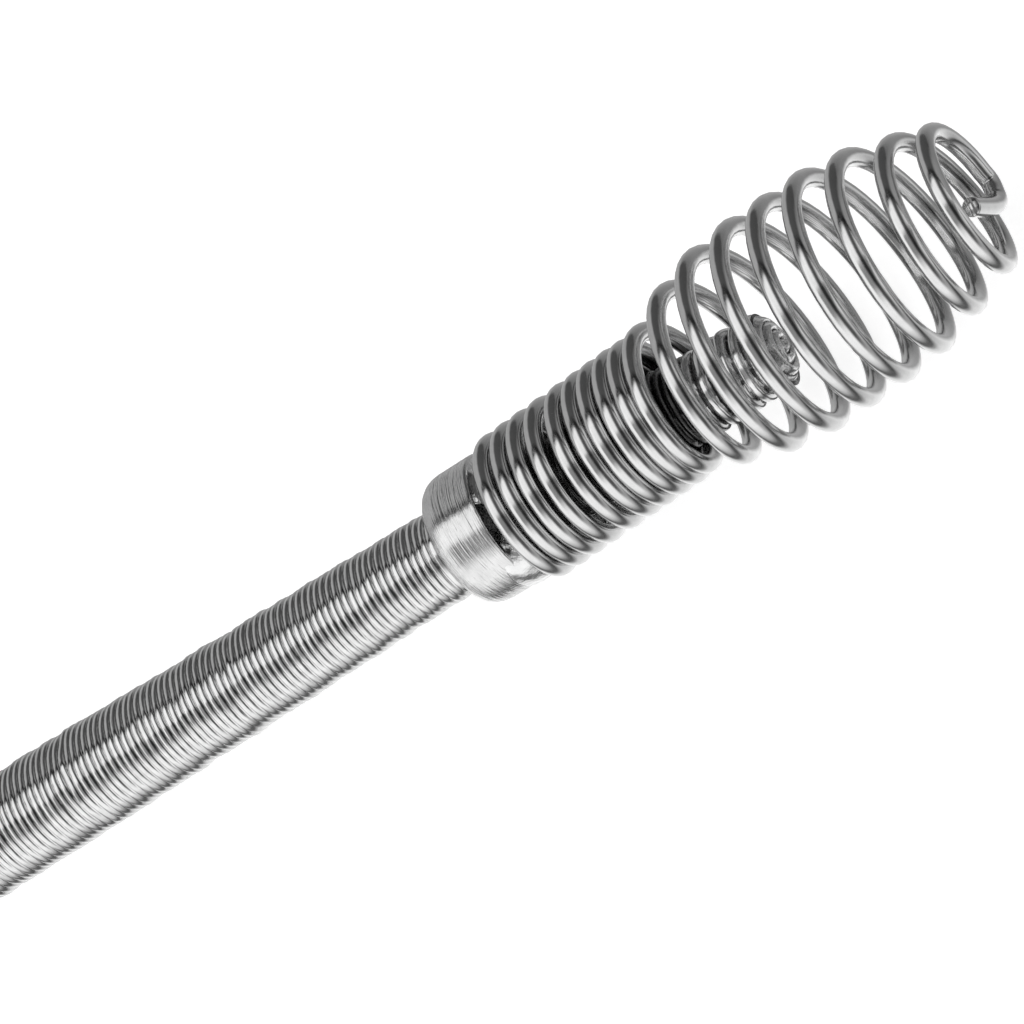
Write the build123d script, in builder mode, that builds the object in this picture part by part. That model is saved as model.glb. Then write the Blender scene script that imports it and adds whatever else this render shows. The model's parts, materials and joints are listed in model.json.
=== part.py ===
from build123d import *
import os
from math import asin, ceil, cos, pi, radians, sin, tan

# Hand-crank drain auger lying on a surface, in millimetres. The spring head points to +X and the crank
# is behind it, with the spare cable coiled behind the crank. The origin is under the middle of the tool.

# Cable: a close-wound outer winding on a wire core, thinner towards the head
cable_d = 9.5
cable_tip_d = 6.6
cable_taper_length = 76.0
core_d = 4.0
core_clearance = 0.05
end_cap_length = 1.2
end_cap_inset = 0.2
head_to_crank = 92.0
sideways_drift = 1.08
knee_lead_in = 30.0
bend_share = 0.45

# Spring head: ten close turns, an open bulb of eight turns and an end bent in across the tip
wire_d = 1.6
neck_r = 5.91
neck_pitch = 1.767
neck_turns = 9
bulb_r = 8.80
bulb_pitch = 3.76
bulb_turns = 8.5
flare_start = 15.17
flare_length = 11.8
tip_start = 46.6
tip_length = 12.7
shoulder_power = 1.3
first_turn_angle = 130.0
wire_lead_in = 0.5
points_per_turn = 8
cable_in_head = 25.3
flex_turn = 9.611
flex_gap = 0.30
hook_reach = (-4.6, -1.4, 1.5)
hook_drop = (-1.6, -2.0, -0.8)
hook_back = (-0.35, -0.45, 1.85)

# Ferrule that joins the head to the cable
ferrule_d = 12.0
ferrule_back = 7.45
ferrule_cone = 2.1
ferrule_lip = 0.25
ferrule_lip_slope = (0.35, 1.0)
ferrule_front = 1.9
ferrule_bore_clearance = 0.02
spigot_clearance = 0.26
spigot_length = 3.2
braze_width = 1.5
braze_height = 0.55

# Crank: a Z-bent steel tube with a spinning grip on each leg
tube_d = 14.0
tube_wall = 1.5
bend_r = 48.0
crank_throw = 112.0
leg_spare = 6.0
grip_d = 30.0
grip_length = 95.0
grip_edge = 3.0
grip_groove_depth = 1.2
grip_groove_width = 2.4
grip_grooves = 7
liner_wall = 2.5
liner_clearance = 0.08
washer_d = 23.0
washer_t = 1.2
end_play = 0.35
collar_d = 20.0
collar_width = 6.0
bush_length = 12.0
bush_flange = 2.5
bush_clearance = 0.35
bush_edge = 1.2
collar_edge = 0.8
nose_to_boss = 6.0

# Clamp on the crank's front leg
boss_ring_d = 22.0
boss_length = 20.0
boss_d = 15.0
boss_height = 18.0
boss_edge = 0.6
screw_d = 8.0
screw_clearance = 0.05
clamp_travel = 2.5
screw_tip_d = 4.6
screw_tip_length = 2.0
hub_d = 13.0
hub_height = 9.0
hub_taper = 6.0
hub_gap = 2.0
wing_span = 34.0
wing_height = 13.0
wing_t = 3.0
wing_waist_span = 10.0
wing_waist_height = 7.6
shoe_d = 7.4
shoe_height = 4.4
shoe_gap = 0.03
weld_leg = 1.6

# Spare cable: a run from the crank's rear mouth, a coil held by ties, and the drive fitting on it
coil_mean_r = 62.0
coil_layers = 3
turns_per_layer = 4
turn_gap = 0.1
coil_edge = 4.275
tie_t = 1.0
tie_width = 14.0
tie_angles = (165.0, 220.0, 345.0)
coil_gap = 86.0
run_course = ((0.34, -0.6, 0.10), (0.64, 0.5, 0.87))
tail_turn = 1
tail_climb = ((144.0, -0.16), (112.0, 0.54), (82.0, 0.98), (52.0, 1.0))
fitting_gap = 0.05
fitting_ferrule_d = 12.5
fitting_ferrule_length = 24.0
shank_d = 8.0
shank_length = 30.0
shank_in_ferrule = 10.0
shank_root_d = 6.5
fitting_edge = 0.8

# Places worked out from the sizes above
grip_r = grip_d / 2
cable_r = cable_d / 2
wire_r = wire_d / 2
tube_r = tube_d / 2
tube_bore_r = tube_r - tube_wall
bush_bore_r = cable_r + bush_clearance
neck_length = neck_turns * neck_pitch


def wire_along(turn):
    """Distance of the head wire's centre ahead of the first turn."""
    return turn * neck_pitch if turn < neck_turns else neck_length + (turn - neck_turns) * bulb_pitch


def wire_radius(along):
    """Radius of the head wire's centreline, with a round shoulder at each end of the bulb."""
    rise = min(1.0, max(0.0, (along - flare_start) / flare_length))
    fall = min(1.0, max(0.0, (tip_start - along) / tip_length))
    shape = (sin(rise * pi / 2) * sin(fall * pi / 2)) ** shoulder_power
    return neck_r + (bulb_r - neck_r) * shape


last_turn = neck_turns + bulb_turns
head_reach = wire_along(last_turn) + wire_r
grip_zone = collar_width + 2 * washer_t + 4 * end_play + grip_length + collar_width
front_leg = nose_to_boss + boss_length + leg_spare + grip_zone + leg_spare + bend_r
rear_leg = bend_r + leg_spare + grip_zone + leg_spare
overall = head_reach + head_to_crank + front_leg + rear_leg + 2 * bush_flange

first_turn_x = overall / 2 - head_reach
guide_y = crank_throw / 2
crank_y = -crank_throw / 2
axis_z = grip_r
head_y = guide_y - sideways_drift
head_z = bulb_r + wire_r
nose_x = first_turn_x - head_to_crank
arm_x = nose_x - front_leg
tail_x = arm_x - rear_leg

first_turn = Vector(first_turn_x, head_y, head_z)
knee = Vector(nose_x, guide_y, axis_z)
toward_head = (first_turn - knee).normalized()
cable_axis = Axis(first_turn, toward_head)
cable_side = Vector(0, 1, 0).cross(toward_head).normalized()
cable_profile = Plane(origin=first_turn, x_dir=toward_head, z_dir=toward_head.cross(cable_side))
parts = {}


def keep(name, builder):
    """Label a finished piece and keep it for export."""
    builder.part.label = name
    parts[name] = builder.part


def wire_point(turn):
    """A point on the head wire's centreline; the helix is left-handed towards the tip."""
    along, angle = wire_along(turn), radians(first_turn_angle - 360 * turn)
    r = wire_radius(along)
    return Vector(first_turn_x + along, head_y + r * cos(angle), head_z + r * sin(angle))


def wire_points(start, end):
    """Evenly spaced points on the head wire from one turn to another."""
    steps = ceil((end - start) * points_per_turn)
    return [wire_point(start + (end - start) * i / steps) for i in range(steps + 1)]


def hook_points():
    """The wire's end, which leaves the last turn at the back and bends in across the tip."""
    front = radians(first_turn_angle)
    side = radians(first_turn_angle - 90)
    points = []
    for reach, drop, back in zip(hook_reach, hook_drop, hook_back):
        y = head_y + reach * cos(front) + drop * cos(side)
        z = head_z + reach * sin(front) + drop * sin(side)
        points.append(Vector(first_turn_x + wire_along(last_turn) - back, y, z))
    return points


def cable_radius(along):
    """The winding's outer radius at a distance ahead of the first turn, along the cable."""
    grown = min(1.0, (cable_in_head - along) / cable_taper_length)
    return (cable_tip_d + (cable_d - cable_tip_d) * grown) / 2


# --- Spring head -------------------------------------------------------------------------------------
half_gap_turn = flex_gap / 2 / (2 * pi * wire_radius(wire_along(flex_turn)))

with BuildPart() as head_neck_spring:
    with BuildLine() as neck_path:
        Spline(*wire_points(-wire_lead_in, flex_turn - half_gap_turn))
    with BuildSketch(neck_path.line ^ 0):
        Circle(wire_r)
    sweep(path=neck_path.line, is_frenet=True)
keep("head_neck_spring", head_neck_spring)

with BuildPart() as head_bulb_spring:
    with BuildLine() as bulb_path:
        Spline(*wire_points(flex_turn + half_gap_turn, last_turn), *hook_points())
    with BuildSketch(bulb_path.line ^ 0):
        Circle(wire_r)
    sweep(path=bulb_path.line, is_frenet=True)
keep("head_bulb_spring", head_bulb_spring)

# --- Ferrule and its braze ---------------------------------------------------------------------------
spigot_r = neck_r - wire_r - spigot_clearance
with BuildPart() as head_ferrule:
    with BuildSketch(cable_profile):
        with BuildLine():
            back_bore = cable_radius(-ferrule_back) + ferrule_bore_clearance
            front_bore = cable_radius(spigot_length - ferrule_front) + ferrule_bore_clearance
            spigot_end = spigot_length - ferrule_front
            shoulder = (-ferrule_back + ferrule_cone, ferrule_d / 2)
            nose = (-ferrule_back, back_bore + ferrule_lip)
            Polyline((spigot_end, front_bore), (-ferrule_back, back_bore), nose)
            TangentArc(nose, shoulder, tangent=ferrule_lip_slope)
            Polyline(
                shoulder,
                (-ferrule_front, ferrule_d / 2),
                (-ferrule_front, spigot_r),
                (spigot_end, spigot_r),
                (spigot_end, front_bore),
            )
        make_face()
    revolve(axis=cable_axis)
keep("head_ferrule", head_ferrule)

with BuildPart() as ferrule_braze:
    with BuildSketch(cable_profile):
        with BuildLine():
            Polyline(
                (-ferrule_front, spigot_r),
                (-ferrule_front, spigot_r + braze_height),
                (-ferrule_front + braze_width, spigot_r + braze_height / 2),
                (-ferrule_front + braze_width, spigot_r),
                close=True,
            )
        make_face()
    revolve(axis=cable_axis)
keep("ferrule_braze", ferrule_braze)

# --- Cable from the head to the crank ----------------------------------------------------------------
core_r = core_d / 2
taper_end = cable_in_head - cable_taper_length
straight_run = (knee - first_turn).length
front_end = -(straight_run - knee_lead_in)

with BuildPart() as cable_front:
    with BuildSketch(cable_profile):
        with BuildLine():
            Polyline(
                (front_end, core_r + core_clearance),
                (front_end, cable_r),
                (taper_end, cable_r),
                (cable_in_head, cable_tip_d / 2),
                (cable_in_head, core_r + core_clearance),
                close=True,
            )
        make_face()
    revolve(axis=cable_axis)
keep("cable_front", cable_front)

with BuildPart() as cable_end_cap:
    with BuildSketch(cable_profile):
        with BuildLine():
            cap_r = cable_tip_d / 2 - end_cap_inset
            ball_r = (cap_r**2 + end_cap_length**2) / (2 * end_cap_length)
            ball_x = cable_in_head + end_cap_length - ball_r
            half = asin(cap_r / ball_r) / 2
            crown = (cable_in_head + end_cap_length, 0)
            Polyline(crown, (cable_in_head, 0), (cable_in_head, cap_r))
            ThreePointArc((cable_in_head, cap_r), (ball_x + ball_r * cos(half), ball_r * sin(half)), crown)
        make_face()
    revolve(axis=cable_axis)
keep("cable_end_cap", cable_end_cap)

# --- Cable and core through the crank ----------------------------------------------------------------
crank_route = [
    (nose_x, guide_y, axis_z),
    (arm_x, guide_y, axis_z),
    (arm_x, crank_y, axis_z),
    (tail_x, crank_y, axis_z),
]
knee_turn = radians(toward_head.get_angle(Vector(1, 0, 0)))
knee_r = bend_share * knee_lead_in / tan(knee_turn / 2)
lead_point = knee + toward_head * knee_lead_in
cable_route = [tuple(lead_point)] + crank_route
tail_mouth = (tail_x - bush_flange, crank_y, axis_z)

with BuildPart() as cable_middle:
    with BuildLine() as middle_path:
        FilletPolyline(*cable_route[:-1], tail_mouth, radius=[knee_r, bend_r, bend_r])
    with BuildSketch(middle_path.line ^ 0):
        Circle(cable_r)
        Circle(core_r + core_clearance, mode=Mode.SUBTRACT)
    sweep(path=middle_path.line)
keep("cable_middle", cable_middle)

with BuildPart() as cable_core:
    with BuildLine() as core_path:
        FilletPolyline(
            tuple(first_turn + toward_head * cable_in_head), *crank_route[:-1], tail_mouth,
            radius=[knee_r, bend_r, bend_r],
        )
    with BuildSketch(core_path.line ^ 0):
        Circle(core_r)
    sweep(path=core_path.line)
keep("cable_core", cable_core)

# --- Crank tube and its bushes -----------------------------------------------------------------------
boss_x = nose_x - nose_to_boss - boss_length / 2
with BuildPart() as crank_tube:
    with BuildLine() as tube_path:
        FilletPolyline(*crank_route, radius=bend_r)
    with BuildSketch(tube_path.line ^ 0):
        Circle(tube_r)
        Circle(tube_bore_r, mode=Mode.SUBTRACT)
    sweep(path=tube_path.line)
    with BuildSketch(Plane.XY.offset(axis_z)):
        with Locations((boss_x, guide_y)):
            Circle(screw_d / 2 + screw_clearance)
    extrude(amount=tube_d, mode=Mode.SUBTRACT)
keep("crank_tube", crank_tube)


def mouth_bush(mouth_x, y, outward):
    """A flanged plastic bush pressed into the tube's mouth."""
    with BuildPart() as bush:
        with BuildSketch(Plane(origin=(mouth_x, y, axis_z), z_dir=(-outward, 0, 0))):
            Circle(tube_bore_r)
        extrude(amount=bush_length)
        with BuildSketch(Plane(origin=(mouth_x, y, axis_z), z_dir=(outward, 0, 0))):
            Circle(tube_r)
        flange = extrude(amount=bush_flange)
        rims = flange.edges().filter_by(GeomType.CIRCLE).sort_by(Axis.X)
        fillet(rims[-1 if outward > 0 else 0], bush_edge)
        with BuildSketch(Plane(origin=(mouth_x + outward * bush_flange, y, axis_z), z_dir=(-outward, 0, 0))):
            Circle(bush_bore_r)
        extrude(amount=bush_length + bush_flange, mode=Mode.SUBTRACT)
    return bush


keep("nose_bush", mouth_bush(nose_x, guide_y, 1))
keep("rear_bush", mouth_bush(tail_x, crank_y, -1))

# --- Spinning grips ----------------------------------------------------------------------------------
liner_r = tube_r + liner_clearance + liner_wall


def ring(x, y, length, outer_r, inner_r, edge=0.0):
    """A ring on a leg's axis that runs from x towards -X."""
    with BuildPart() as made:
        with BuildSketch(Plane(origin=(x, y, axis_z), z_dir=(-1, 0, 0))):
            Circle(outer_r)
            Circle(inner_r, mode=Mode.SUBTRACT)
        extrude(amount=length)
        if edge:
            rims = made.edges().filter_by(GeomType.CIRCLE).group_by(SortBy.RADIUS)[-1]
            chamfer(rims, edge)
    return made


def grip_sleeve(x, y):
    """The soft outer sleeve, with rounded ends and a band of round grooves about its middle."""
    step = grip_length / (grip_grooves + 3)
    centres = [grip_length / 2 + (i - (grip_grooves - 1) / 2) * step for i in range(grip_grooves)]
    with BuildPart() as sleeve:
        with BuildSketch(Plane(origin=(x, y, axis_z), x_dir=(-1, 0, 0), z_dir=(0, 1, 0))):
            with BuildLine():
                at = 0.0
                for centre in centres:
                    mouth, far = centre - grip_groove_width / 2, centre + grip_groove_width / 2
                    Line((at, grip_r), (mouth, grip_r))
                    ThreePointArc((mouth, grip_r), (centre, grip_r - grip_groove_depth), (far, grip_r))
                    at = far
                end, foot = (grip_length, grip_r), (grip_length, liner_r)
                Polyline((at, grip_r), end, foot, (0, liner_r), (0, grip_r))
            make_face()
        revolve(axis=Axis((x, y, axis_z), (1, 0, 0)))
        rims = sleeve.edges().filter_by(GeomType.CIRCLE).group_by(Axis.X)
        fillet((rims[0] + rims[-1]).group_by(SortBy.RADIUS)[-1], grip_edge)
    return sleeve


def spinning_grip(name, front_x, y):
    """A grip sleeve on its liner, between two washers and two collars fixed on the tube."""
    washer_x = front_x - collar_width - end_play
    liner_x = washer_x - washer_t - end_play
    back_washer_x = liner_x - grip_length - end_play
    back_collar_x = back_washer_x - washer_t - end_play
    washer_bore = tube_r + liner_clearance
    keep(f"{name}_front_collar", ring(front_x, y, collar_width, collar_d / 2, tube_r, collar_edge))
    keep(f"{name}_front_washer", ring(washer_x, y, washer_t, washer_d / 2, washer_bore))
    keep(f"{name}_liner", ring(liner_x, y, grip_length, liner_r, tube_r + liner_clearance))
    keep(f"{name}_grip", grip_sleeve(liner_x, y))
    keep(f"{name}_rear_washer", ring(back_washer_x, y, washer_t, washer_d / 2, washer_bore))
    keep(f"{name}_rear_collar", ring(back_collar_x, y, collar_width, collar_d / 2, tube_r, collar_edge))


guide_front_x = nose_x - nose_to_boss - boss_length - leg_spare
crank_front_x = arm_x - bend_r - leg_spare
spinning_grip("guide", guide_front_x, guide_y)
spinning_grip("crank", crank_front_x, crank_y)

# --- Clamp -------------------------------------------------------------------------------------------
boss_top = axis_z + boss_height
bore_r = screw_d / 2 + screw_clearance
shoe_bottom = axis_z + cable_r + shoe_gap
shoe_top = shoe_bottom + shoe_height

with BuildPart() as clamp_boss:
    with BuildSketch(Plane(origin=(boss_x + boss_length / 2, guide_y, axis_z), z_dir=(-1, 0, 0))):
        Circle(boss_ring_d / 2)
    extrude(amount=boss_length)
    with BuildSketch(Plane.XY.offset(axis_z)):
        with Locations((boss_x, guide_y)):
            Circle(boss_d / 2)
    extrude(amount=boss_height)
    with BuildSketch(Plane(origin=(boss_x + boss_length / 2, guide_y, axis_z), z_dir=(-1, 0, 0))):
        Circle(tube_r)
    extrude(amount=boss_length, mode=Mode.SUBTRACT)
    with BuildSketch(Plane.XY.offset(axis_z)):
        with Locations((boss_x, guide_y)):
            Circle(bore_r)
    extrude(amount=boss_height, mode=Mode.SUBTRACT)
    chamfer(clamp_boss.edges().filter_by(GeomType.CIRCLE).group_by(Axis.Z)[-1], boss_edge)
keep("clamp_boss", clamp_boss)

with BuildPart() as clamp_shoe:
    with BuildSketch(Plane.XY.offset(axis_z)):
        with Locations((boss_x, guide_y)):
            Circle(shoe_d / 2)
    extrude(amount=shoe_top - axis_z)
    with BuildSketch(Plane(origin=(boss_x + boss_length / 2, guide_y, axis_z), z_dir=(-1, 0, 0))):
        Circle(cable_r + shoe_gap)
    extrude(amount=boss_length, mode=Mode.SUBTRACT)
    with BuildSketch(Plane.XY.offset(shoe_top - screw_tip_length)):
        with Locations((boss_x, guide_y)):
            Circle(screw_tip_d / 2 + screw_clearance)
    extrude(amount=screw_tip_length, mode=Mode.SUBTRACT)
keep("clamp_shoe", clamp_shoe)

hub_bottom = boss_top + hub_gap
with BuildPart() as thumb_screw:
    with BuildSketch(Plane.XY.offset(shoe_top - screw_tip_length + screw_clearance)):
        with Locations((boss_x, guide_y)):
            Circle(screw_tip_d / 2)
    extrude(amount=screw_tip_length)
    with BuildSketch(Plane.XY.offset(shoe_top + screw_clearance)):
        with Locations((boss_x, guide_y)):
            Circle(screw_d / 2)
    extrude(amount=hub_bottom - shoe_top)
    with BuildSketch(Plane.XY.offset(hub_bottom)):
        with Locations((boss_x, guide_y)):
            Circle(hub_d / 2)
    extrude(amount=hub_height, taper=hub_taper)
    with BuildSketch(Plane.XZ.offset(-guide_y)):
        with Locations((boss_x, hub_bottom + hub_height / 2 + wing_height / 4)):
            Ellipse(wing_span / 2, wing_height / 2)
        with Locations((boss_x, hub_bottom + hub_height / 2 + wing_height)):
            Ellipse(wing_waist_span, wing_waist_height, mode=Mode.SUBTRACT)
    extrude(amount=wing_t / 2, both=True)
keep("thumb_screw", thumb_screw)

for side, bead_x in (("front", boss_x + boss_length / 2), ("rear", boss_x - boss_length / 2)):
    outward = 1 if side == "front" else -1
    with BuildPart() as bead:
        with BuildSketch(Plane.XZ.offset(-guide_y)):
            with BuildLine():
                foot = axis_z + tube_r
                toe = bead_x + outward * weld_leg
                Polyline((bead_x, foot + weld_leg), (bead_x, foot), (toe, foot), close=True)
            make_face()
        revolve(axis=Axis((bead_x, guide_y, axis_z), (1, 0, 0)))
    keep(f"boss_weld_{side}", bead)

# --- Spare cable, its ties and the drive fitting -----------------------------------------------------
turn_pitch = cable_d + turn_gap
coil_bottom = tie_t
coil_half_width = (turns_per_layer - 1) * turn_pitch / 2 + cable_r
coil_height = (coil_layers - 1) * turn_pitch + cable_d
coil_top = coil_bottom + coil_height
outer_turn_r = coil_mean_r + (turns_per_layer - 1) * turn_pitch / 2
tail_r = outer_turn_r - (tail_turn + 1) * turn_pitch
coil_x = tail_x - coil_gap
coil_y = crank_y + outer_turn_r
coil_z = coil_bottom + cable_r

run_points = [tail_mouth]
for share, sway, drop in run_course:
    run_points.append((tail_x - share * coil_gap, crank_y + sway, axis_z - drop * (axis_z - coil_z)))
run_points.append((coil_x, crank_y, coil_z))


def corner_radii(points):
    """Each corner's radius, as large as its two runs allow."""
    radii = []
    for before, at, after in zip(points, points[1:], points[2:]):
        first, second = Vector(*at) - Vector(*before), Vector(*after) - Vector(*at)
        turn = radians(first.get_angle(second))
        radii.append(bend_share * min(first.length, second.length) / tan(turn / 2))
    return radii


with BuildPart() as cable_coil:
    with BuildSketch(Plane.XZ.offset(-coil_y)):
        with Locations((coil_x + coil_mean_r, coil_bottom + coil_height / 2)):
            RectangleRounded(2 * coil_half_width, coil_height, coil_edge)
    revolve(axis=Axis((coil_x, coil_y, 0), (0, 0, 1)))
keep("cable_coil", cable_coil)

with BuildPart() as cable_run:
    with BuildLine() as run_path:
        FilletPolyline(*run_points, radius=corner_radii(run_points))
    with BuildSketch(run_path.line ^ 0):
        Circle(cable_r)
    sweep(path=run_path.line)
    add(cable_coil.part, mode=Mode.SUBTRACT)
keep("cable_run", cable_run)

for number, angle in enumerate(tie_angles, 1):
    away = Vector(cos(radians(angle)), sin(radians(angle)), 0)
    middle = Vector(coil_x, coil_y, coil_bottom + coil_height / 2) + away * coil_mean_r
    with BuildPart() as tie:
        with BuildSketch(Plane(origin=middle, x_dir=away, z_dir=(-away.Y, away.X, 0))):
            RectangleRounded(2 * (coil_half_width + tie_t), coil_height + 2 * tie_t, coil_edge + tie_t)
        extrude(amount=tie_width / 2, both=True)
        add(cable_coil.part, mode=Mode.SUBTRACT)
    keep(f"coil_tie_{number}", tie)

fitting_z = coil_top + fitting_ferrule_d / 2 + fitting_gap
tail_points = []
for angle, climb in tail_climb:
    x = coil_x + tail_r * cos(radians(angle))
    y = coil_y + tail_r * sin(radians(angle))
    tail_points.append((x, y, coil_top + climb * (fitting_z - coil_top)))
fitting_start = Vector(*tail_points[-1])
fitting_dir = (fitting_start - Vector(*tail_points[-2])).normalized()
fitting_plane = Plane(origin=fitting_start, z_dir=fitting_dir)

with BuildPart() as cable_tail:
    with BuildLine() as tail_path:
        FilletPolyline(*tail_points, radius=corner_radii(tail_points))
    with BuildSketch(tail_path.line ^ 0):
        Circle(cable_r)
    sweep(path=tail_path.line)
    add(cable_coil.part, mode=Mode.SUBTRACT)
keep("cable_tail", cable_tail)

with BuildPart() as fitting_ferrule:
    with BuildSketch(fitting_plane):
        Circle(fitting_ferrule_d / 2)
    extrude(amount=fitting_ferrule_length)
    chamfer(fitting_ferrule.edges().filter_by(GeomType.CIRCLE), fitting_edge)
    with BuildSketch(fitting_plane.offset(fitting_ferrule_length - shank_in_ferrule)):
        Circle(shank_root_d / 2)
    extrude(amount=shank_in_ferrule, mode=Mode.SUBTRACT)
keep("fitting_ferrule", fitting_ferrule)

with BuildPart() as drive_shank:
    with BuildSketch(fitting_plane.offset(fitting_ferrule_length - shank_in_ferrule)):
        Circle(shank_root_d / 2)
    extrude(amount=shank_in_ferrule)
    with BuildSketch(fitting_plane.offset(fitting_ferrule_length)):
        Circle(shank_d / 2)
    extrude(amount=shank_length)
    chamfer(drive_shank.faces().sort_by(Axis(fitting_start, fitting_dir))[-1].edges(), fitting_edge)
keep("drive_shank", drive_shank)

# --- Export ------------------------------------------------------------------------------------------
os.makedirs("parts", exist_ok=True)
for name, part in parts.items():
    export_step(part, f"parts/{name}.step")

print("bend radii, run:", [round(r, 1) for r in corner_radii(run_points)])
print("bend radii, tail:", [round(r, 1) for r in corner_radii(tail_points)])
print("bend radii, crank:", [round(knee_r, 1), bend_r, bend_r])
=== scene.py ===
"""Drain auger: the looks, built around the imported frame. Metres, +X towards the spring head, +Z up."""

import json
import math

import bpy
import numpy as np
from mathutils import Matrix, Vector


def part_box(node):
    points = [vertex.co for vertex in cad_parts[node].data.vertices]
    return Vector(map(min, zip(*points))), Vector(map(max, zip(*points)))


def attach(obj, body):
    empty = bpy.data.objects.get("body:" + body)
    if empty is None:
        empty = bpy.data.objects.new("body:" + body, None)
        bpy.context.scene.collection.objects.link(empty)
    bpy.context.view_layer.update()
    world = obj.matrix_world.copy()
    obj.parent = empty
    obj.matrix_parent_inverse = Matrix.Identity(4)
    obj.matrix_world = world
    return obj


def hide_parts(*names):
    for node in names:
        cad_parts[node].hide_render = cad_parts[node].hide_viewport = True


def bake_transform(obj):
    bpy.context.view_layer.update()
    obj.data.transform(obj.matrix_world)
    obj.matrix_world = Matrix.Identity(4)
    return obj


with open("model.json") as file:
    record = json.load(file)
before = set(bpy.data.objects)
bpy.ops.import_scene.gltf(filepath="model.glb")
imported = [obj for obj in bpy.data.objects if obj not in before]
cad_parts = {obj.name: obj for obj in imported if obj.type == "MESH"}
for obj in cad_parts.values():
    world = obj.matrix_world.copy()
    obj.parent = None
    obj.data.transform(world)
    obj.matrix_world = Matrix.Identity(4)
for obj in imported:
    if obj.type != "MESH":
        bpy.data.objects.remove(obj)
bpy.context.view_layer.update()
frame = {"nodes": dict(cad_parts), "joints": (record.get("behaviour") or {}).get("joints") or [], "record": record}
MM = 0.001
joints = {j["name"]: j for j in frame["joints"]}

# --- Places read from the frame ----------------------------------------------------------------------
FLEX_AHEAD = 18.20 * MM  # the head's flex point, ahead of its first turn
flex = Vector(joints["head_flex"]["pos_m"])
first_turn = flex - Vector((FLEX_AHEAD, 0, 0))
guide = Vector(joints["guide_spin"]["pos_m"])
crank = Vector(joints["crank_spin"]["pos_m"])
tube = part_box("crank_tube")
knee = Vector((tube[1][0], guide.y, guide.z))
toward_head = (first_turn - knee).normalized()


# --- Mesh helpers ------------------------------------------------------------------------------------
def mesh_object(name, points, faces, smooth=True):
    """A mesh object of plain lists or arrays of points and faces."""
    mesh = bpy.data.meshes.new(name)
    mesh.from_pydata(np.asarray(points, float).tolist(), [], [list(f) for f in faces])
    mesh.validate()
    mesh.polygons.foreach_set("use_smooth", [smooth] * len(mesh.polygons))
    made = bpy.data.objects.new(name, mesh)
    bpy.context.collection.objects.link(made)
    return made


def path_frames(centres):
    """Unit tangents and two steady normals along a line of points."""
    tangents = np.gradient(centres, axis=0)
    tangents /= np.linalg.norm(tangents, axis=1)[:, None]
    side = np.cross(tangents[0], (0.0, 0.0, 1.0))
    if np.linalg.norm(side) < 0.1:
        side = np.cross(tangents[0], (0.0, 1.0, 0.0))
    sides = np.empty_like(centres)
    for i, t in enumerate(tangents):
        side = side - t * np.dot(side, t)
        side /= np.linalg.norm(side)
        sides[i] = side
    return tangents, sides, np.cross(tangents, sides)


def grid_faces(rows, sides):
    """Quads over rows of rings, with each end closed by one polygon."""
    faces = []
    for i in range(rows - 1):
        a, b = i * sides, (i + 1) * sides
        faces += [(a + k, a + (k + 1) % sides, b + (k + 1) % sides, b + k) for k in range(sides)]
    faces.append(list(range(sides))[::-1])
    faces.append(list(range((rows - 1) * sides, rows * sides)))
    return faces


def tube_along(name, centres, radii, sides):
    """A closed tube round a line of points. radii is one per point, or one per point and side."""
    _, first, second = path_frames(centres)
    angles = np.linspace(0, 2 * math.pi, sides, endpoint=False)
    r = np.asarray(radii, float)
    r = r[:, None] * np.ones(sides) if r.ndim == 1 else r
    ring = first[:, None, :] * np.cos(angles)[None, :, None] + second[:, None, :] * np.sin(angles)[None, :, None]
    points = centres[:, None, :] + ring * r[:, :, None]
    return mesh_object(name, points.reshape(-1, 3), grid_faces(len(centres), sides))


def lathe(name, origin, axis, profile, sides=96):
    """A closed solid turned about an axis. profile is (distance along, radius) pairs; the last joins the first."""
    axis = Vector(axis).normalized()
    side = axis.cross(Vector((0, 0, 1))).normalized()
    other = axis.cross(side)
    points, faces, rows = [], [], len(profile)
    for along, radius in profile:
        for k in range(sides):
            a = 2 * math.pi * k / sides
            points.append(Vector(origin) + axis * along + (side * math.cos(a) + other * math.sin(a)) * radius)
    for i in range(rows):
        a, b = i * sides, (i + 1) % rows * sides
        faces += [(a + k, b + k, b + (k + 1) % sides, a + (k + 1) % sides) for k in range(sides)]
    return mesh_object(name, [tuple(p) for p in points], faces)


def eased(value):
    """A value held between 0 and 1, with a soft start and end."""
    value = min(1.0, max(0.0, value))
    return value * value * (3 - 2 * value)


def smooth_between(table, at):
    """Catmull-Rom values of a table of rows at fractional row numbers."""
    table = np.asarray(table, float)
    last = len(table) - 1
    at = np.clip(np.asarray(at, float), 0, last)
    i = np.minimum(at.astype(int), last - 1)
    t = (at - i)[:, None]
    p0, p1 = table[np.maximum(i - 1, 0)], table[i]
    p2, p3 = table[i + 1], table[np.minimum(i + 2, last)]
    square, cube = 2 * p0 - 5 * p1 + 4 * p2 - p3, 3 * p1 - p0 - 3 * p2 + p3
    return 0.5 * (2 * p1 + (p2 - p0) * t + square * t**2 + cube * t**3)


def route_line(points, per_span=12):
    """Points read from the NURBS spline that has the route's points as its control points."""
    curve = bpy.data.curves.new("route", "CURVE")
    curve.dimensions = "3D"
    curve.resolution_u = per_span
    spline = curve.splines.new("NURBS")
    spline.points.add(len(points) - 1)
    for point, place in zip(spline.points, points):
        point.co = (*place, 1.0)
    spline.order_u = 3
    spline.use_endpoint_u = True
    holder = bpy.data.objects.new("route", curve)
    mesh = bpy.data.meshes.new_from_object(holder)
    line = np.array([v.co for v in mesh.vertices], float)
    bpy.data.objects.remove(holder)
    bpy.data.curves.remove(curve)
    bpy.data.meshes.remove(mesh)
    return line


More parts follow.
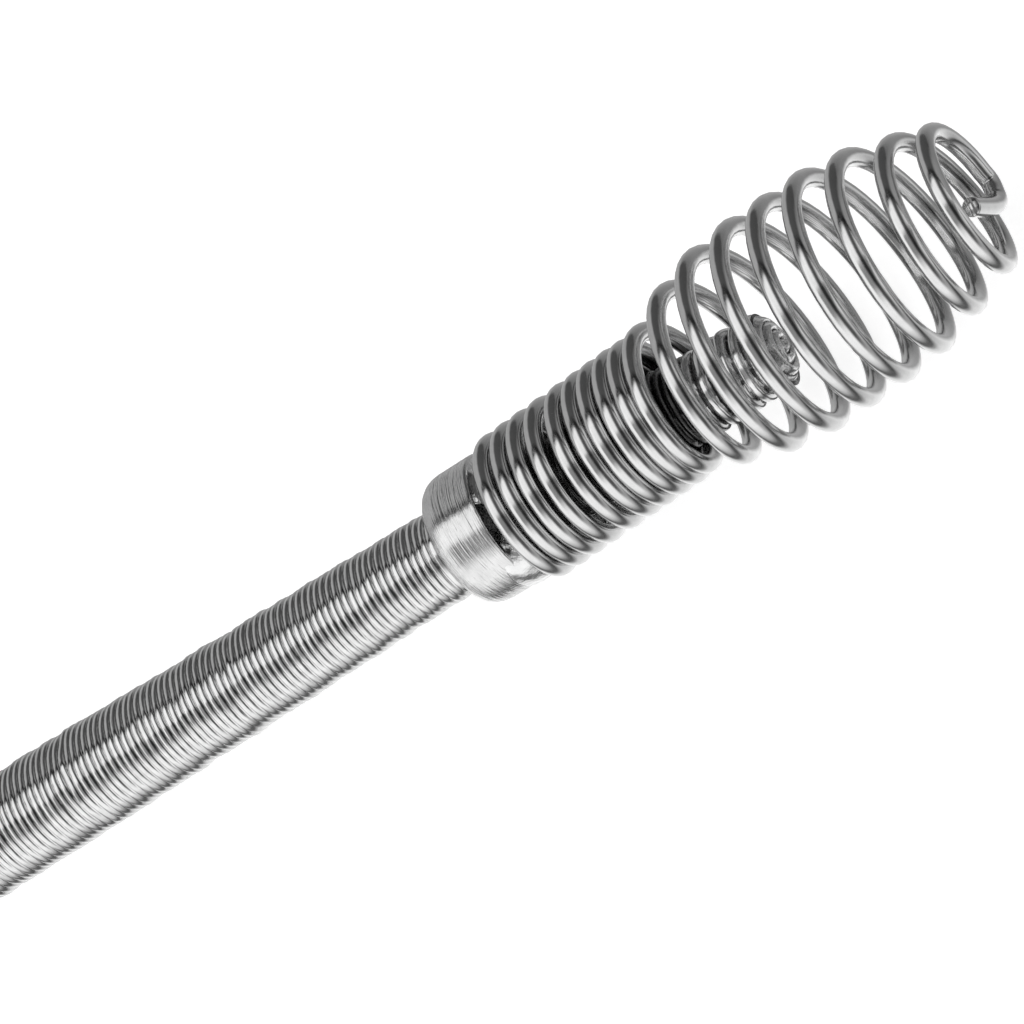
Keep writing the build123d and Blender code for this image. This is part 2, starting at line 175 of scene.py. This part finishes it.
def distances(line):
    """The distance of each point along a line of points."""
    return np.concatenate([[0], np.cumsum(np.linalg.norm(np.diff(line, axis=0), axis=1))])


def points_at(line, run, at):
    """Points at given distances along a line."""
    return np.stack([np.interp(at, run, line[:, k]) for k in range(3)], axis=1)


def resample(line, step):
    """Evenly spaced points along a line of points, and their distances."""
    run = distances(line)
    count = max(2, int(round(run[-1] / step)) + 1)
    at = np.linspace(0, run[-1], count)
    return points_at(line, run, at), at


# --- Materials ---------------------------------------------------------------------------------------
def material(name, colour, metallic, roughness):
    """A new material and its shader, with plain values on the shader's own sockets."""
    made = bpy.data.materials.new(name)
    made.use_nodes = True
    shader = made.node_tree.nodes["Principled BSDF"]
    shader.inputs["Base Color"].default_value = (*colour, 1)
    shader.inputs["Metallic"].default_value = metallic
    shader.inputs["Roughness"].default_value = roughness
    return made, made.node_tree, shader


def noise(tree, scale, detail=3.0, stretch=None):
    """A noise texture in object space; stretch scales its axes, in noise units per metre."""
    coords = tree.nodes.new("ShaderNodeTexCoord")
    mapping = tree.nodes.new("ShaderNodeMapping")
    texture = tree.nodes.new("ShaderNodeTexNoise")
    mapping.inputs["Scale"].default_value = stretch or (1, 1, 1)
    texture.inputs["Scale"].default_value = scale
    texture.inputs["Detail"].default_value = detail
    tree.links.new(coords.outputs["Object"], mapping.inputs["Vector"])
    tree.links.new(mapping.outputs["Vector"], texture.inputs["Vector"])
    return texture.outputs["Fac"]


def ramp(tree, source, stops):
    """A colour ramp over a value; stops are (place, grey) pairs."""
    node = tree.nodes.new("ShaderNodeValToRGB")
    elements = node.color_ramp.elements
    elements[0].position, elements[1].position = stops[0][0], stops[-1][0]
    ends = [(elements[0], stops[0]), (elements[1], stops[-1])]
    for element, (place, grey) in ends + [(None, stop) for stop in stops[1:-1]]:
        element = element or elements.new(place)
        element.color = (grey, grey, grey, 1)
    tree.links.new(source, node.inputs["Fac"])
    return node.outputs["Color"]


def bump(tree, shader, height, strength, distance):
    """Surface relief from a height, on top of any that the shader's normal has already."""
    node = tree.nodes.new("ShaderNodeBump")
    node.inputs["Strength"].default_value = strength
    node.inputs["Distance"].default_value = distance
    tree.links.new(height, node.inputs["Height"])
    for link in shader.inputs["Normal"].links:
        tree.links.new(link.from_socket, node.inputs["Normal"])
    tree.links.new(node.outputs["Normal"], shader.inputs["Normal"])


# Sizes of the noise in the materials, in features per metre, and heights of the relief
CLOUDS, GLOSS_PATCHES, GRAIN, LUMPS = 900, 2500, 6000, 1500
TOOL_LINES = (5200, 260, 260)
GRAIN_HEIGHT, RELIEF_HEIGHT = 0.02 * MM, 0.09 * MM


def steel(name, grey, rough, grain, mottle=0.06, lines=0.0, lumpy=0.0):
    """Bare drawn or turned steel: fine grain in the relief, cloudy greys and uneven gloss."""
    made, tree, shader = material(name, grey, 1.0, 0.25)
    low, high = grey[0] * (1 - mottle), grey[0] * (1 + mottle)
    tree.links.new(ramp(tree, noise(tree, CLOUDS), [(0.3, low), (0.7, high)]), shader.inputs["Base Color"])
    gloss = ramp(tree, noise(tree, GLOSS_PATCHES), [(0.3, rough[0]), (0.7, rough[1])])
    tree.links.new(gloss, shader.inputs["Roughness"])
    bump(tree, shader, noise(tree, GRAIN), grain, GRAIN_HEIGHT)
    if lines:
        bump(tree, shader, noise(tree, 1, 4, TOOL_LINES), lines, RELIEF_HEIGHT)
    if lumpy:
        bump(tree, shader, noise(tree, LUMPS, 4), lumpy, RELIEF_HEIGHT)
    return made


WIRE = steel("spring_wire", (0.62, 0.62, 0.62), (0.12, 0.2), 0.04, mottle=0.03)
CABLE = steel("cable_winding", (0.66, 0.66, 0.66), (0.08, 0.2), 0.1, lines=0.3)
TURNED = steel("turned_steel", (0.64, 0.64, 0.64), (0.1, 0.2), 0.1, lines=1.0)
# A dark copy of the cable's steel: painted shade for faces shut in by the head's close turns and for deep grooves
PAINTED_SHADE = steel("painted_shade_winding", (0.16, 0.16, 0.16), (0.2, 0.34), 0.1, lines=0.3)
BRAZE = steel("braze_metal", (0.7, 0.7, 0.7), (0.05, 0.18), 0.3, lumpy=0.9)
PLATED = steel("zinc_plate", (0.68, 0.68, 0.7), (0.14, 0.26), 0.1)
TUBE = steel("tube_plate", (0.7, 0.7, 0.71), (0.12, 0.24), 0.06)


def moulded(name, colour, rough, scale, strength):
    """Moulded rubber or plastic with a fine spark-eroded texture."""
    made, tree, shader = material(name, colour, 0.0, rough)
    bump(tree, shader, noise(tree, scale, 4), strength, 0.0001)
    low, high = rough - 0.08, rough + 0.08
    tree.links.new(ramp(tree, noise(tree, 300), [(0.3, low), (0.7, high)]), shader.inputs["Roughness"])
    return made


RUBBER = moulded("grip_rubber", (0.025, 0.025, 0.027), 0.62, 2600, 0.35)
PLASTIC = moulded("bush_plastic", (0.02, 0.02, 0.022), 0.42, 3200, 0.12)
FABRIC = moulded("tie_weave", (0.02, 0.02, 0.021), 0.85, 1800, 0.9)
BRASS, brass_tree, brass_shader = material("shoe_brass", (0.72, 0.5, 0.2), 1.0, 0.3)
bump(brass_tree, brass_shader, noise(brass_tree, 3000), 0.1, 0.00002)


def paint(obj, made):
    """Put one material on every face of an object."""
    obj.data.materials.clear()
    obj.data.materials.append(made)
    return obj


# --- Spring head -------------------------------------------------------------------------------------
WIRE_R = 0.8 * MM
FRONT_ANGLE = math.radians(130.0)
# Each turn's distance ahead of the first and its radius, mm, where the wire faces the front
TURNS = [
    (0.0, 5.91), (1.745, 5.91), (3.47, 5.91), (5.37, 5.91), (7.6, 5.91), (9.48, 5.91), (11.1, 5.91),
    (12.79, 5.91), (14.4, 5.91), (15.9, 5.83), (19.67, 7.28), (23.46, 8.40), (27.33, 8.79), (30.96, 8.71),
    (34.57, 8.68), (38.4, 8.24), (42.35, 7.08), (46.0, 5.83), (46.3, 5.7),
]
LEAD_IN = 0.5
LAST_TURN = 17.5
STEPS_PER_TURN = 44
HOOK_STEP = 0.06
BURR, BURR_RINGS = 0.86, 3
# The wire's end: distance ahead, towards the front and towards the top, mm
HOOK = [(46.4, -5.05, -1.2), (46.4, -3.9, -1.8), (46.3, -2.4, -1.75), (46.2, -0.4, -1.35), (46.1, 1.6, -0.85)]


def head_place(ahead, front, top):
    """A point in the head's own directions, in mm: along its axis, to the front and to the top."""
    c, s = math.cos(FRONT_ANGLE), math.sin(FRONT_ANGLE)
    offset = Vector((ahead, front * c + top * s, front * s - top * c))
    return first_turn + offset * MM


def head_wire_line():
    """The head wire's centreline from its start under the braze to its cut end."""
    turns = np.arange(-LEAD_IN, LAST_TURN, 1 / STEPS_PER_TURN)
    ahead, radius = smooth_between(TURNS, turns).T
    ahead = ahead + np.minimum(turns, 0) * TURNS[1][0]
    angle = 2 * math.pi * turns
    line = [head_place(a, r * math.cos(w), r * math.sin(w)) for a, r, w in zip(ahead, radius, angle)]
    corner = [line[-9], line[-1]] + [head_place(*place) for place in HOOK]
    bend = smooth_between(np.array(corner), np.arange(1, len(corner) - 1, HOOK_STEP))
    return np.vstack([np.array(line), bend[1:]])


def clipped(radius, count):
    """Ring radii along a wire whose last end is clipped, with a slight burr."""
    radii = np.full(count, radius)
    radii[-BURR_RINGS:] = radius * np.linspace(1.0, BURR, BURR_RINGS)
    return radii


wire_line = head_wire_line()
head_wire = paint(tube_along("head_wire", wire_line, clipped(WIRE_R, len(wire_line)), 28), WIRE)
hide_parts("head_neck_spring", "head_bulb_spring")
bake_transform(head_wire)

# --- Camera ------------------------------------------------------------------------------------------
TILT, ROLL, HEIGHT = math.radians(24.0), math.radians(35.0), math.radians(50.0)
DISTANCE, LENS = 0.353, 150.0
AIM_RIGHT, AIM_UP = -1.31 * MM, -0.70 * MM
toward = Vector((math.sin(TILT), -math.cos(TILT) * math.cos(HEIGHT), math.cos(TILT) * math.sin(HEIGHT)))
along = (Vector((1, 0, 0)) - toward * toward.x).normalized()
over = toward.cross(along)
right = along * math.cos(ROLL) - over * math.sin(ROLL)
up = along * math.sin(ROLL) + over * math.cos(ROLL)
camera = bpy.data.objects.new("camera", bpy.data.cameras.new("camera"))
bpy.context.collection.objects.link(camera)
camera.data.lens = LENS
camera.data.sensor_width = 36.0
camera.data.clip_start = 0.01
rotation = camera.matrix_world.copy().to_3x3()
rotation.col[0], rotation.col[1], rotation.col[2] = right, up, toward
camera.matrix_world = rotation.to_4x4()
camera.location = first_turn + right * AIM_RIGHT + up * AIM_UP + toward * DISTANCE
bpy.context.scene.camera = camera

# --- Ferrule and braze -------------------------------------------------------------------------------
# The ferrule's outline, distance ahead of the first turn and radius, mm; its longest edge has the turned grooves
FERRULE = [
    (-7.38, 3.4), (-7.4, 4.24), (-7.36, 4.62), (-7.18, 5.06), (-6.86, 5.46), (-6.42, 5.76), (-5.9, 5.93),
    (-5.4, 5.98), (-2.1, 5.98), (-1.95, 5.9), (-1.9, 5.78), (-1.9, 4.4), (0.9, 4.4), (1.2, 4.3), (1.2, 3.4),
]
TURNED_EDGE = 7
GROOVES = 56
PLAIN_STEP = 0.5
GROOVE_WAVES = ((0.012, 9.7), (0.008, 4.3))


def ferrule_profile():
    """The ferrule's outline in mm with fine turned grooves on its straight part."""
    outline = []
    for edge, ((a, ra), (b, rb)) in enumerate(zip(FERRULE, FERRULE[1:])):
        turned = edge == TURNED_EDGE
        steps = GROOVES if turned else max(1, int(abs(b - a) / PLAIN_STEP))
        for k in range(steps):
            u = k / steps
            groove = sum(size * math.sin(rate * k) for size, rate in GROOVE_WAVES) if turned else 0.0
            outline.append((a + (b - a) * u, ra + (rb - ra) * u + groove))
    return outline + [FERRULE[-1]]


ferrule = lathe("ferrule", first_turn, toward_head, [(a * MM, r * MM) for a, r in ferrule_profile()], 128)
paint(ferrule, TURNED)
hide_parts("head_ferrule")
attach(ferrule, "tool")

side_way = toward_head.cross(Vector((0, 0, 1))).normalized()
over_way = side_way.cross(toward_head)


def round_head(origin, ahead, radius, a):
    """A point about the head's axis: mm ahead of an origin, at a radius and an angle."""
    return origin + (toward_head * ahead + (side_way * math.cos(a) + over_way * math.sin(a)) * radius) * MM


def lumps(seed, count, amount):
    """A smooth, uneven value over one turn of angle."""
    pick = np.random.default_rng(seed)
    waves = [(k, pick.normal(0, amount / k**0.6), pick.uniform(0, 6.28)) for k in range(1, count)]
    return lambda a: sum(size * math.sin(k * a + shift) for k, size, shift in waves)


BEAD_SIDES, BEAD_ROWS = 160, 15
BEAD_LOW = math.radians(34.0)  # turned from straight down, where the bead is heaviest
BEAD_FROM, BEAD_SLOPE = 0.42, 3.0  # where round the ferrule it starts, and how fast it grows heavy
BEAD_BACK, BEAD_REACH = -2.0, 1.5
BEAD_AHEAD, BEAD_BRIDGE = -1.15, 1.05
BEAD_R, BEAD_SINK = 5.9, 1.0
BEAD_HEIGHT, BEAD_SWELL = 0.22, 0.2
BEAD_ROOT = (-1.4, 4.3)


def braze_bead():
    """The lumpy bead that wets the ferrule's front edge and the first turn, heavy below and broken above."""
    reach, swell = lumps(3, 12, 0.1), lumps(8, 18, 0.05)
    points, faces = [], []
    for k in range(BEAD_SIDES):
        a = 2 * math.pi * k / BEAD_SIDES
        low = 0.5 - 0.5 * math.sin(a - BEAD_LOW)
        heavy = eased((low - BEAD_FROM) * BEAD_SLOPE)
        back = BEAD_BACK - BEAD_REACH * heavy * (0.8 + 0.7 * reach(a))
        ahead = BEAD_AHEAD + BEAD_BRIDGE * heavy + 0.25 * reach(a + 1.7)
        for i in range(BEAD_ROWS):
            u = i / (BEAD_ROWS - 1)
            height = (1 - abs(2 * u - 1) ** 3) * (BEAD_HEIGHT + BEAD_SWELL * swell(a + 3.1 * u))
            base = BEAD_R - BEAD_SINK * (1 - heavy) * u + 0.12 * heavy * math.sin(7 * a + 6 * u) * u
            radius = base + height * heavy + 0.04 - 1.2 * (1 - heavy) * u
            points.append(round_head(first_turn, back + (ahead - back) * u, radius, a))
        points.append(round_head(first_turn, *BEAD_ROOT, a))
    span = BEAD_ROWS + 1
    for k in range(BEAD_SIDES):
        here, there = k * span, (k + 1) % BEAD_SIDES * span
        for i in range(span):
            j = (i + 1) % span
            faces.append((here + i, here + j, there + j, there + i))
    return mesh_object("braze_bead", [tuple(p) for p in points], faces)


braze = paint(braze_bead(), BRAZE)
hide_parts("ferrule_braze")
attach(braze, "tool")

# --- Wound cable -------------------------------------------------------------------------------------
CABLE_R = 4.75 * MM
TIP_R = 3.3 * MM
CABLE_IN_HEAD = 25.3 * MM
TAPER = 76.0 * MM
WINDING_PITCH = 0.655 * MM
WINDING_DEPTH = 0.24 * MM
# At the cable's end: its wires are this many times wider, over this length
COARSE, COARSE_LENGTH = 1.8, 7.0 * MM
# and its grooves deeper by this share of their depth, over this length and then less and less
BOLD, BOLD_LENGTH, BOLD_FADE = 1.7, 22.0 * MM, 6.0 * MM
# Painted shade: the stretch ahead of the first turn, and grooves below this depth ahead of that stretch
SHADE_FROM, SHADE_TO = 1.5 * MM, 18.4 * MM
SHADE_DEPTH = 0.19 * MM
CROWN = 4.0  # how flat each wire's top is
WIRE_UNEVEN, WIRE_SWING = 0.12, 0.2  # how much the wires' heights differ, and wave round the cable
DENTS = 16
DENT = 0.011 * MM
RINGS_PER_WIRE = (0.0, 0.07, 0.17, 0.34, 0.5, 0.66, 0.83, 0.93)
rng = np.random.default_rng(4)


def winding(line, radius_at, pitch, depth, rings, sides, name):
    """A helical winding with one ridge per wire, flattened on top and slightly uneven."""
    run = distances(line)
    turns = int(run[-1] / pitch)
    at = np.array([(n + u) * pitch for n in range(turns) for u in rings])
    centres = points_at(line, run, at)
    angles = np.linspace(0, 1, sides, endpoint=False)
    wound = np.where(at < COARSE_LENGTH, at / COARSE, at - COARSE_LENGTH * (1 - 1 / COARSE))
    phase = wound[:, None] / pitch + angles[None, :]
    u = phase % 1.0
    wire = np.floor(phase).astype(int)
    wires = wire.max() + 2
    uneven = rng.normal(0, 1, wires)
    beats, shift, swell = rng.integers(2, 8, wires), rng.uniform(0, 1, wires), rng.normal(0, 1, wires)

    def along_wire(pick):
        """A value that each wire keeps all the way round, eased into its neighbour's at the seam."""
        return pick(wire) * (1 - angles) + pick(wire - 1) * angles

    swing = along_wire(lambda w: np.sin(2 * math.pi * (beats[w] * angles + shift[w])) * swell[w])
    crown = 1 - np.abs(2 * u - 1) ** CROWN
    bold = 1 + BOLD * np.clip((BOLD_LENGTH - at[:, None]) / BOLD_FADE, 0, 1)
    lift = depth * bold * (crown - 0.6 + WIRE_UNEVEN * along_wire(lambda w: uneven[w]) + WIRE_SWING * swing)
    dents = np.zeros_like(phase)
    for _ in range(DENTS):
        length, around = rng.uniform(2, 9) * MM, rng.integers(-5, 6)
        size = rng.normal(0, DENT)
        dents += size * np.sin(2 * math.pi * (at[:, None] / length + around * angles + rng.uniform()))
    radii = np.array([radius_at(a) for a in at])[:, None] + lift - depth * 0.4 + dents
    return tube_along(name, centres, radii, sides)


def front_radius(at):
    """The winding's radius, from the cable's end in the head backwards."""
    return TIP_R + (CABLE_R - TIP_R) * min(1.0, at / TAPER)


cable_end = first_turn + toward_head * CABLE_IN_HEAD
front_line = route_line([tuple(cable_end), tuple(first_turn), tuple(first_turn.lerp(knee, 0.5)), tuple(knee)])
front_cable = winding(front_line, front_radius, WINDING_PITCH, WINDING_DEPTH, RINGS_PER_WIRE, 48, "front_cable")
paint(front_cable, CABLE)
# Painted shade on the stretch that the close turns shut in, and between the wires ahead of it: these faces take
# the dark copy of the cable's steel
front_cable.data.materials.append(PAINTED_SHADE)
for face in front_cable.data.polygons:
    away = face.center - first_turn
    ahead = away.dot(toward_head)
    low = (away - toward_head * ahead).length < front_radius(CABLE_IN_HEAD - ahead) - SHADE_DEPTH
    face.material_index = int(SHADE_FROM < ahead < SHADE_TO or (low and ahead >= SHADE_TO))
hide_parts("cable_front")
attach(front_cable, "tool")


CAP_SIDES, CAP_RINGS = 120, 84
CAP_R, CAP_DOME, CAP_WIRE = 3.05, 0.5, 0.62
CAP_LOOPS = 3.4
# The cap's grooves get painted shade where a wire is below this share of its height
CAP_SHADE_BELOW = 0.5  # the share of a wire's height below which a groove is dark


def swirled_cap():
    """The cable's end: the winding's last wire laid over it in a rough spiral."""
    sides, rings = CAP_SIDES, CAP_RINGS
    wander, fill = lumps(21, 6, 0.12), lumps(22, 7, 0.2)
    points, faces, low = [], [], []
    for i in range(rings + 1):
        u = i / rings
        for k in range(sides):
            a = 2 * math.pi * k / sides
            across = (u * CAP_LOOPS + k / sides + wander(a)) % 1.0
            wire = math.sqrt(max(0.0, 1 - (2 * across - 1) ** 2))
            low.append(wire < CAP_SHADE_BELOW)
            rim = min(1.0, 5 * (1 - u))
            height = CAP_DOME * (1 - u**2.2) + CAP_WIRE * wire * rim * (0.85 + 0.3 * fill(a + 4 * u))
            points.append(round_head(cable_end, height, CAP_R * u, a))
    for i in range(rings):
        a, b = i * sides, (i + 1) * sides
        faces += [(a + k, b + k, b + (k + 1) % sides, a + (k + 1) % sides) for k in range(sides)]
    faces.append([rings * sides + k for k in range(sides)][::-1])
    made = paint(mesh_object("cable_swirl", [tuple(p) for p in points], faces), BRAZE)
    # Painted shade in the spiral's grooves: these faces take the dark copy of the steel
    made.data.materials.append(PAINTED_SHADE)
    for face, between in zip(made.data.polygons, low):
        face.material_index = int(between)
    return made


swirl = swirled_cap()
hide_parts("cable_end_cap")
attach(swirl, "tool")

# --- Cable through the crank -------------------------------------------------------------------------
BEND_R = 48.0 * MM
LEG_SPARE = 6.0 * MM
BEND_STEPS = 24
CRANK_STEP, CRANK_SIDES = 2.5 * MM, 24
IN_TUBE_R = CABLE_R - 0.05 * MM
arm_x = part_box("crank_front_collar")[1][0] + LEG_SPARE + BEND_R
tail_mouth = Vector((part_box("rear_bush")[0][0], crank.y, crank.z))


def crank_line():
    """The crank's centreline: three straight legs and two bends."""
    z, line = guide.z, [(knee.x, guide.y, guide.z)]
    for k in range(BEND_STEPS + 1):
        a = math.radians(90 + 90 * k / BEND_STEPS)
        line.append((arm_x + BEND_R + BEND_R * math.cos(a), guide.y - BEND_R + BEND_R * math.sin(a), z))
    for k in range(BEND_STEPS + 1):
        a = math.radians(-90 * k / BEND_STEPS)
        line.append((arm_x - BEND_R + BEND_R * math.cos(a), crank.y + BEND_R + BEND_R * math.sin(a), z))
    line.append(tuple(tail_mouth))
    return resample(np.array(line), CRANK_STEP)[0]


crank_points = crank_line()
crank_cable = tube_along("crank_cable", crank_points, np.full(len(crank_points), IN_TUBE_R), CRANK_SIDES)
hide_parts("cable_middle")
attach(crank_cable, "tool")

# --- Spare cable: the run, the coil and the tail -----------------------------------------------------
COIL_MEAN_R = 62.0 * MM
TURN_PITCH = 9.6 * MM
COIL_GAP = 86.0 * MM
COIL_BOTTOM = 1.0 * MM
FITTING_RISE = 6.3 * MM
# The run's points: share of the way to the coil, mm sideways and share of the way down
RUN_COURSE = ((0.34, -0.6, 0.10), (0.64, 0.5, 0.87))
# The tail's points: angle round the coil and share of the fitting's rise above it
TAIL_CLIMB = ((144.0, -0.16), (112.0, 0.54), (82.0, 0.98), (52.0, 1.0))
outer_turn_r = COIL_MEAN_R + 1.5 * TURN_PITCH
tail_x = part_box("crank_tube")[0][0]
coil_x, coil_y, coil_z = tail_x - COIL_GAP, crank.y + outer_turn_r, COIL_BOTTOM + CABLE_R
coil_top = coil_z + 2 * TURN_PITCH + CABLE_R

spare_route = [tuple(tail_mouth)]
for share, sway, drop in RUN_COURSE:
    spare_route.append((tail_x - share * COIL_GAP, crank.y + sway * MM, crank.z - drop * (crank.z - coil_z)))

# Turns run inward on the first layer, outward on the second and inward on the third. Each steps over to
# its neighbour between STEP_AT and STEP_AT + STEP_SPAN degrees; a layer's last turn climbs just before that.
STEP_AT, STEP_SPAN = 270.0, 75.0
STEPS = [-1, -1, -1, 0, 1, 1, 1, 0, -1, -1, 0]
CLIMBS = [0, 0, 0, 1, 0, 0, 0, 1, 0, 0, 0]
TURN_POINTS = 36
LAST_TURN_POINTS = 11

radius, level = outer_turn_r, 0
for turn, (step, climb) in enumerate(zip(STEPS, CLIMBS)):
    last = LAST_TURN_POINTS if turn == len(STEPS) - 1 else TURN_POINTS
    for k in range(last):
        phi = 360.0 * k / TURN_POINTS
        r = radius + step * TURN_PITCH * eased((phi - STEP_AT) / STEP_SPAN)
        z = coil_z + TURN_PITCH * (level + climb * eased((phi - STEP_AT + STEP_SPAN) / STEP_SPAN))
        a = math.radians(270.0 - phi)
        spare_route.append((coil_x + r * math.cos(a), coil_y + r * math.sin(a), z))
    radius += step * TURN_PITCH
    level += climb
for angle, climb in TAIL_CLIMB:
    a = math.radians(angle)
    z = coil_top + climb * FITTING_RISE
    spare_route.append((coil_x + radius * math.cos(a), coil_y + radius * math.sin(a), z))

SPARE_PITCH = 1.6 * MM
SPARE_RINGS = 3
SPARE_DEPTH = 0.2 * MM
SPARE_SPAN_POINTS, SPARE_SIDES = 6, 12
spare_line = route_line(spare_route, SPARE_SPAN_POINTS)
spare_points, spare_at = resample(spare_line, SPARE_PITCH / SPARE_RINGS)
groove = np.arange(len(spare_at)) % SPARE_RINGS == SPARE_RINGS - 1
relief = CABLE_R - 0.02 * MM - SPARE_DEPTH * groove
spare_cable = tube_along("spare_cable", spare_points, relief, SPARE_SIDES)
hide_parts("cable_run", "cable_coil", "cable_tail")
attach(spare_cable, "tool")
paint(spare_cable, CABLE)
paint(crank_cable, CABLE)

# --- Everything else keeps its CAD shape -------------------------------------------------------------
FINISH = {
    "turned_steel": TURNED, "cable_steel": CABLE, "core_steel": CABLE, "braze": BRAZE, "tube_steel": TUBE,
    "plated_steel": PLATED, "brass": BRASS, "black_plastic": PLASTIC, "grip_rubber": RUBBER, "tie_fabric": FABRIC,
    "spring_steel": WIRE,
}
for part in frame["record"]["subparts"]:
    paint(frame["nodes"][part["node"]], FINISH[part["material_slot"]])

# --- Floor and light ---------------------------------------------------------------------------------
floor = mesh_object("floor", [(-3, -3, 0), (3, -3, 0), (3, 3, 0), (-3, 3, 0)], [(0, 1, 2, 3)], smooth=False)
FLOOR, _, floor_shader = material("floor_white", (0.9, 0.9, 0.9), 0.0, 0.9)
floor_shader.inputs["Emission Color"].default_value = (1.0, 1.0, 1.0, 1.0)
floor_shader.inputs["Emission Strength"].default_value = 0.75
floor_shader.inputs["Specular IOR Level"].default_value = 0.0
paint(floor, FLOOR)


def studio():
    """The studio as the steel sees it: bands about the tool's length, white behind and dark past the tip."""
    world = bpy.data.worlds.new("studio")
    bpy.context.scene.world = world
    world.use_nodes = True
    tree = world.node_tree
    background = tree.nodes["Background"]
    coords = tree.nodes.new("ShaderNodeTexCoord")
    split = tree.nodes.new("ShaderNodeSeparateXYZ")
    tree.links.new(coords.outputs["Generated"], split.inputs[0])

    def feed(socket, value):
        """A plain value on a socket, or a link from another node's output."""
        if isinstance(value, (float, tuple)):
            socket.default_value = value
        else:
            tree.links.new(value, socket)

    def maths(operation, a, b):
        node = tree.nodes.new("ShaderNodeMath")
        node.operation = operation
        feed(node.inputs[0], a)
        feed(node.inputs[1], b)
        return node.outputs[0]

    def mix(kind, factor, a, b):
        node = tree.nodes.new("ShaderNodeMix")
        node.data_type = "RGBA"
        node.blend_type = kind
        feed(node.inputs["Factor"], factor)
        feed(node.inputs["A"], a)
        feed(node.inputs["B"], b)
        return node.outputs["Result"]

    # Degrees up from the front horizon, over the top to the back; grey is half the light
    turned = maths("ARCTAN2", split.outputs["Z"], maths("MULTIPLY", split.outputs["Y"], -1.0))
    place = maths("ADD", maths("DIVIDE", turned, 2 * math.pi), 0.5)
    bands = [
        (-180, 0.24), (-130, 0.24), (-116, 0.62), (-84, 0.50), (-70, 0.06), (-60, 0.08), (-44, 0.42), (-28, 0.66),
        (8, 0.66), (22, 0.40), (30, 0.17), (56, 0.17), (62, 0.62), (96, 0.66), (101, 0.03), (109, 0.03),
        (116, 0.28), (180, 0.24),
    ]
    across = ramp(tree, place, [((a + 180) / 360, grey) for a, grey in bands])
    x_place = maths("ADD", maths("MULTIPLY", split.outputs["X"], 0.5), 0.5)
    behind = ramp(tree, x_place, [(0.0, 0.6), (0.06, 1.0), (0.14, 1.0), (0.24, 0.0)])
    past_tip = ramp(tree, x_place, [(0.53, 1.0), (0.7, 0.1), (0.86, 0.08), (0.95, 0.6), (1.0, 0.75)])
    front = ramp(tree, place, [(0.38, 0.0), (0.47, 1.0), (0.77, 1.0), (0.81, 0.0)])
    light = mix("MIX", maths("MULTIPLY", behind, front), across, (0.68, 0.68, 0.68, 1.0))
    over_back = ramp(tree, x_place, [(0.335, 1.0), (0.44, 0.2), (0.82, 0.17), (0.92, 0.7), (1.0, 0.8)])
    low_side = ramp(tree, x_place, [(0.55, 1.0), (0.8, 0.55), (1.0, 0.8)])
    below = ramp(tree, place, [(0.0, 0.5), (0.08, 1.0), (0.5, 1.0), (0.6, 0.0)])
    sides = mix("MIX", below, over_back, low_side)
    light = mix("MULTIPLY", 1.0, light, mix("MIX", front, sides, past_tip))
    tree.links.new(light, background.inputs["Color"])
    background.inputs["Strength"].default_value = 2.0


studio()
floor.visible_glossy = False
bpy.context.scene.view_settings.view_transform = "Standard"
